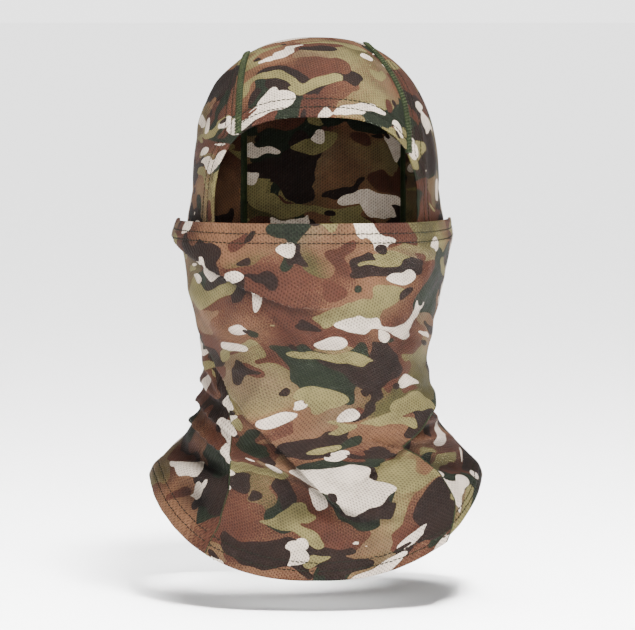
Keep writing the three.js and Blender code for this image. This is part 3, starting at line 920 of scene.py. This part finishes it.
# %% The print
def camouflage(place):
    """The colour of the print at a place in the cut cloth, in millimetres."""
    pull = place.noise(44.0, 1.8, 0.5, colour=True)
    pull = pull.node("ShaderNodeVectorMath", {"operation": "MULTIPLY_ADD"},
                     {0: pull, 1: (38, 30, 0), 2: (-19, -15, 0)})
    warped = place.node("ShaderNodeVectorMath", {"operation": "ADD"}, {0: place, 1: pull})
    grain = place.noise(0.9, 2.0, 0.8) - 0.5

    def soft(shift, size, level, spread, grains=0.6):
        """A ground tone that fades out through stipple."""
        field = warped.moved(location=shift).noise(size, 0.5)
        return (field + grain * grains).ramp(level - spread, level + spread)

    def blot(shift, size, level, stretch=1.0, turn=0.0, detail=1.2):
        """A hard-edged shape, drawn out across the cloth by a stretch."""
        drawn = warped.moved(location=shift, turn=turn, scale=(1 / stretch, 1, 1))
        return drawn.noise(size, detail, 0.45) > level

    def pebbles(shift, apart, radius, wide=1.0):
        """Rounded spots of one size, scattered."""
        spots = warped.moved(location=shift, scale=(1 / wide, 1, 1))
        cells = spots.node("ShaderNodeTexVoronoi", {"voronoi_dimensions": "2D", "feature": "F1"},
                           {"Vector": spots, "Scale": 1 / apart, "Randomness": 0.9})
        return cells < radius / apart

    colour = soft((40, 10, 0), 88.0, 0.48, 0.09).blend(COPPER, KHAKI)
    colour = soft((-90, 70, 0), 66.0, 0.53, 0.07).blend(colour, OLIVE)
    colour = soft((210, -30, 0), 58.0, 0.56, 0.06).blend(colour, TAUPE)
    colour = blot((15, 130, 0), 60.0, 0.475, 1.15, 0.2, 1.9).blend(colour, RED_BROWN)
    colour = soft((160, 330, 0), 50.0, 0.61, 0.06).blend(colour, COPPER)
    colour = blot((-160, -85, 0), 38.0, 0.60, 1.2, -0.6, 1.8).blend(colour, DARK_GREEN)
    colour = pebbles((5, 31, 0), 54.0, 5.0, 0.8).blend(colour, RED_BROWN)
    colour = blot((300, 45, 0), 36.0, 0.585, 1.35, 0.4, 2.0).blend(colour, DARK_BROWN)
    colour = blot((-35, 215, 0), 20.0, 0.645, 2.6, -0.8, 1.4).blend(colour, KHAKI)
    colour = blot((120, -240, 0), 27.0, 0.655, 1.5, 0.3, 1.8).blend(colour, CREAM)
    colour = pebbles((0, 0, 0), 50.0, 5.4, 1.25).blend(colour, CREAM)
    return pebbles((17, 23, 0), 42.0, 2.8, 1.2).blend(colour, DARK_BROWN)


# %% [markdown]
# The knit itself is worked out from the same millimetres: two sines across each other leave a mesh of small
# holes, a finer one gives the ribs of loops, and they drive the bump together and paint light into the print:
# painted shade in the holes and a faint painted highlight on the ribs. Soft lamps leave the feet of the folds
# too pale, so the attribute that came with the panels darkens them with painted shade.

# %% Cloth
KNIT = 1.9  # millimetres from one hole of the mesh to the next
WALE = 0.65  # and from one rib of loops to the next
# Strength of the painted shade in the holes, of the faint painted highlight on the ribs, and of the painted
# shade at the folds' feet.
HOLE_SHADE, WALE_HIGHLIGHT, FOLD_SHADE_STRENGTH = 0.26, 0.025, 0.75


def knit_material(name, shade, roughness):
    material, shader, place = new_material(name)
    split = place.node("ShaderNodeSeparateXYZ", None, {0: place})
    across, along = split, Value(split.tree, split.socket.node.outputs[1])
    slanting, steep = across * 0.9 + along * 0.45, across * 0.45 - along * 0.9
    weave = (slanting * (2 * math.pi / KNIT)).sine() * (steep * (math.pi / KNIT)).sine()
    mesh, holes = weave.ramp(-1.0, 1.0), weave.ramp(0.15, 0.8)
    wales = (slanting * (2 * math.pi / WALE)).sine()
    colour = camouflage(place)
    wear = place.noise(23.0, 3.0, 0.6).ramp(0.35, 0.75)
    dye = place.noise(3.5, 2.0, 0.6).ramp(0.2, 0.8)
    # Painted shade at the feet of the folds, read from the attribute that came with the panels.
    painted_fold_shade = place.node("ShaderNodeAttribute", {"attribute_name": "painted_fold_shade"}, out=2)
    # The holes get painted shade and the ribs a faint painted highlight, over the tone that wear and dye vary.
    light = (wear * 0.16 + dye * 0.10 + (shade - 0.12)) - holes * HOLE_SHADE + wales * WALE_HIGHLIGHT
    light = light * (1 - painted_fold_shade * FOLD_SHADE_STRENGTH)
    colour = place.node("ShaderNodeVectorMath", {"operation": "SCALE"}, {0: colour, "Scale": light})
    into(shader, "Base Color", colour)
    into(shader, "Roughness", dye * 0.12 + (roughness - 0.06) + holes * 0.1)
    threads = place.noise(0.5, 1.0, 0.6) + wales * 0.25
    bump = place.node("ShaderNodeBump", None,
                      {"Strength": 0.8, "Distance": 0.0005, "Height": mesh * -0.8 + threads * 0.3})
    into(shader, "Normal", bump)
    shader.inputs["Specular IOR Level"].default_value = 0.12
    return material


printed = knit_material("printed_knit", 0.44, 0.78)
print("knit holes every", KNIT, "mm")


# %% [markdown]
# ## Thread
# Sewing thread is twisted, so it catches the light in specks. Its fibres could be modelled, but they are finer
# than the eye sees here, so a noise finer than the thread gives their bump and paints the specks into the
# colour as painted glints. The seams are dark green with lighter strands, whose lighter colour is a painted
# highlight on the raised loops, and the hem rows nearly black.

# %% Thread
def thread_material(name, dark, light):
    material, shader, place = new_material(name, uv=None)
    twist_and_glints = place.noise(0.55, 2.0, 0.7, kind="3D")
    patches = place.noise(6.0, 2.0, 0.6, kind="3D")
    # The lighter specks are painted glints; the slower patches vary the tone.
    into(shader, "Base Color", (twist_and_glints * 0.7 + patches * 0.3).ramp(0.38, 0.66).blend(dark, light))
    into(shader, "Roughness", patches * 0.2 + 0.55)
    bump = place.node("ShaderNodeBump", None, {"Strength": 0.5, "Distance": 0.0002, "Height": twist_and_glints})
    into(shader, "Normal", bump)
    shader.inputs["Specular IOR Level"].default_value = 0.08
    return material


seam_thread = thread_material("seam_thread", srgb(10, 15, 7), srgb(32, 40, 20))
# The strands take a lighter copy of the seam thread, a painted highlight on the raised loops.
lit_strand_thread = thread_material("lit_strand_thread", srgb(16, 20, 11), srgb(54, 60, 38))
stitch_thread = thread_material("stitch_thread", srgb(5, 6, 4), srgb(22, 24, 14))
print("three threads")

# %% Give each piece its finish
# Where in the print each panel was cut, in mm.
SHIFTS = {"crown": (-1260, 350), "left": (1150, -170), "right": (-840, 0), "front": (1520, -1610)}
for name, obj in cloths.items():
    layer = obj.data.uv_layers["cut"].data
    uv = np.empty(len(layer) * 2)
    layer.foreach_get("uv", uv)
    uv = uv.reshape(-1, 2) + np.array(SHIFTS[name]) * MM
    layer.foreach_set("uv", uv.ravel())
    obj.data.materials.append(printed)
for obj in bpy.data.objects:
    if obj.name.endswith(("_seam_band", "_seam_strands", "_edge_seam")):
        obj.data.materials.append(lit_strand_thread if "strands" in obj.name else seam_thread)
    elif "_stitches_" in obj.name:
        obj.data.materials.append(stitch_thread)
bpy.data.objects.remove(strand)
bpy.data.objects.remove(stitch)
print("materials:", [material.name for material in bpy.data.materials if material.users])

# %% [markdown]
# ## Joining the frame
# The hood is one body and the mask's top edge another that pulls down below the chin. The front cloth spans
# both, so it joins neither and keeps its place baked in, as do its edge seams; the stitches along the mask's
# edge ride with the edge itself.

# %% Which body carries what
STANDS_FOR = {
    "crown_cloth": ("crown_panel", "forehead_hem_turning", "back_hem_turning"),
    "front_cloth": ("mask_panel", "bib_panel", "mask_edge_band", "mask_edge_turning", "bib_hem_turning"),
}
for row in ("forehead", "mask", "hem", "left_eye", "right_eye"):
    for where in ("outer", "inner"):
        STANDS_FOR[f"{row}_stitches_{where}"] = (f"{row}_stitch_{where}",)
for name in ("left", "right"):
    STANDS_FOR |= {
        name + "_side_cloth": (name + "_side_panel", name + "_eye_hem_turning", name + "_hem_turning"),
        name + "_seam_band": (name + "_crown_seam",),
        name + "_seam_strands": (name + "_crown_seam_loops",),
        name + "_front_edge_seam": (name + "_front_seam",),
    }
for name, nodes in STANDS_FOR.items():
    obj = bpy.data.objects[name]
    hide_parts(*nodes)
    if name in ("front_cloth", "left_front_edge_seam", "right_front_edge_seam"):
        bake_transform(obj)
    else:
        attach(obj, "mask_edge" if name.startswith("mask_") else "hood")
print(len(STANDS_FOR), "pieces stand for", sum(map(len, STANDS_FOR.values())), "nodes")


# %% [markdown]
# ## Studio
# The mask floats just above a pale floor, lit softly from the front and above as for a shop's catalogue. Large
# area lights give the cloth's folds broad shading without hard edges. A floor lit only by them would look grey,
# so a light overhead is linked to the floor alone, and the room behind looks brighter than it lights.

# %% Floor and room
FLOOR_HEIGHT = -0.362
bpy.ops.object.select_all(action="DESELECT")
bpy.ops.mesh.primitive_plane_add(size=400, location=(0, 0, FLOOR_HEIGHT))
floor = bpy.context.object
floor.name = "floor"
floor_material, floor_shader, _ = new_material("floor", uv=None)
floor_shader.inputs["Base Color"].default_value = (0.92, 0.92, 0.92, 1)
floor_shader.inputs["Roughness"].default_value = 0.7
floor.data.materials.append(floor_material)

world = bpy.data.worlds.new("studio")
bpy.context.scene.world = world
world.use_nodes = True
sky = world.node_tree.nodes["Background"].inputs
sky["Color"].default_value = (1, 1, 1, 1)
ROOM_LIGHT, ROOM_BEHIND = 0.4, 2.4  # what the room gives, and how much brighter it looks
seen = Value(world.node_tree, None).node("ShaderNodeLightPath")
world.node_tree.links.new((seen * ROOM_BEHIND + ROOM_LIGHT).socket, sky["Strength"])

overhead = bpy.data.lights.new("overhead", "SUN")
overhead.energy, overhead.angle = 8.0, math.radians(36)
overhead = bpy.data.objects.new("overhead", overhead)
bpy.context.collection.objects.link(overhead)
lit_floor = bpy.data.collections.new("lit_floor")
lit_floor.objects.link(floor)
overhead.light_linking.receiver_collection = lit_floor

# %% Lamps
MIDDLE = Vector((0, 0, -0.17))
LAMPS = (  # name, place, size in metres and power in watts
    ("key", (0.25, -0.7, 1.05), 0.3, 74),
    ("front", (0.1, -2.2, 0.1), 0.7, 44),
    ("fill", (-0.9, -0.9, 0.15), 0.9, 8),
    ("top", (0.1, 0.2, 1.1), 0.8, 10),
)
for name, place, size, watts in LAMPS:
    lamp = bpy.data.objects.new(name, bpy.data.lights.new(name, "AREA"))
    lamp.data.size, lamp.data.energy = size, watts
    bpy.context.collection.objects.link(lamp)
    lamp.location = place
    lamp.rotation_euler = (MIDDLE - Vector(place)).to_track_quat("-Z", "Y").to_euler()
print(len(LAMPS), "lamps on the mask")

# %% [markdown]
# The camera stands well back with a long lens, a little above the middle of the mask, so that the near cheeks
# look no larger than they are.

# %% Camera
camera = bpy.data.objects.new("camera", bpy.data.cameras.new("camera"))
bpy.context.collection.objects.link(camera)
bpy.context.scene.camera = camera
TARGET, DISTANCE, RAISED = Vector((0.001, 0, -0.180)), 2.8, math.radians(4)
NEARER = 0.03  # the widest part of the mask is this much nearer than its middle
SHOWN_WIDTH = 409.575 * MM  # what the view takes in at that distance
camera.location = TARGET + DISTANCE * Vector((0, -math.cos(RAISED), math.sin(RAISED)))
camera.rotation_euler = (TARGET - camera.location).to_track_quat("-Z", "Y").to_euler()
camera.data.sensor_width = 36
camera.data.lens = camera.data.sensor_width * (DISTANCE - NEARER) / SHOWN_WIDTH
print("lens", round(camera.data.lens), "mm")
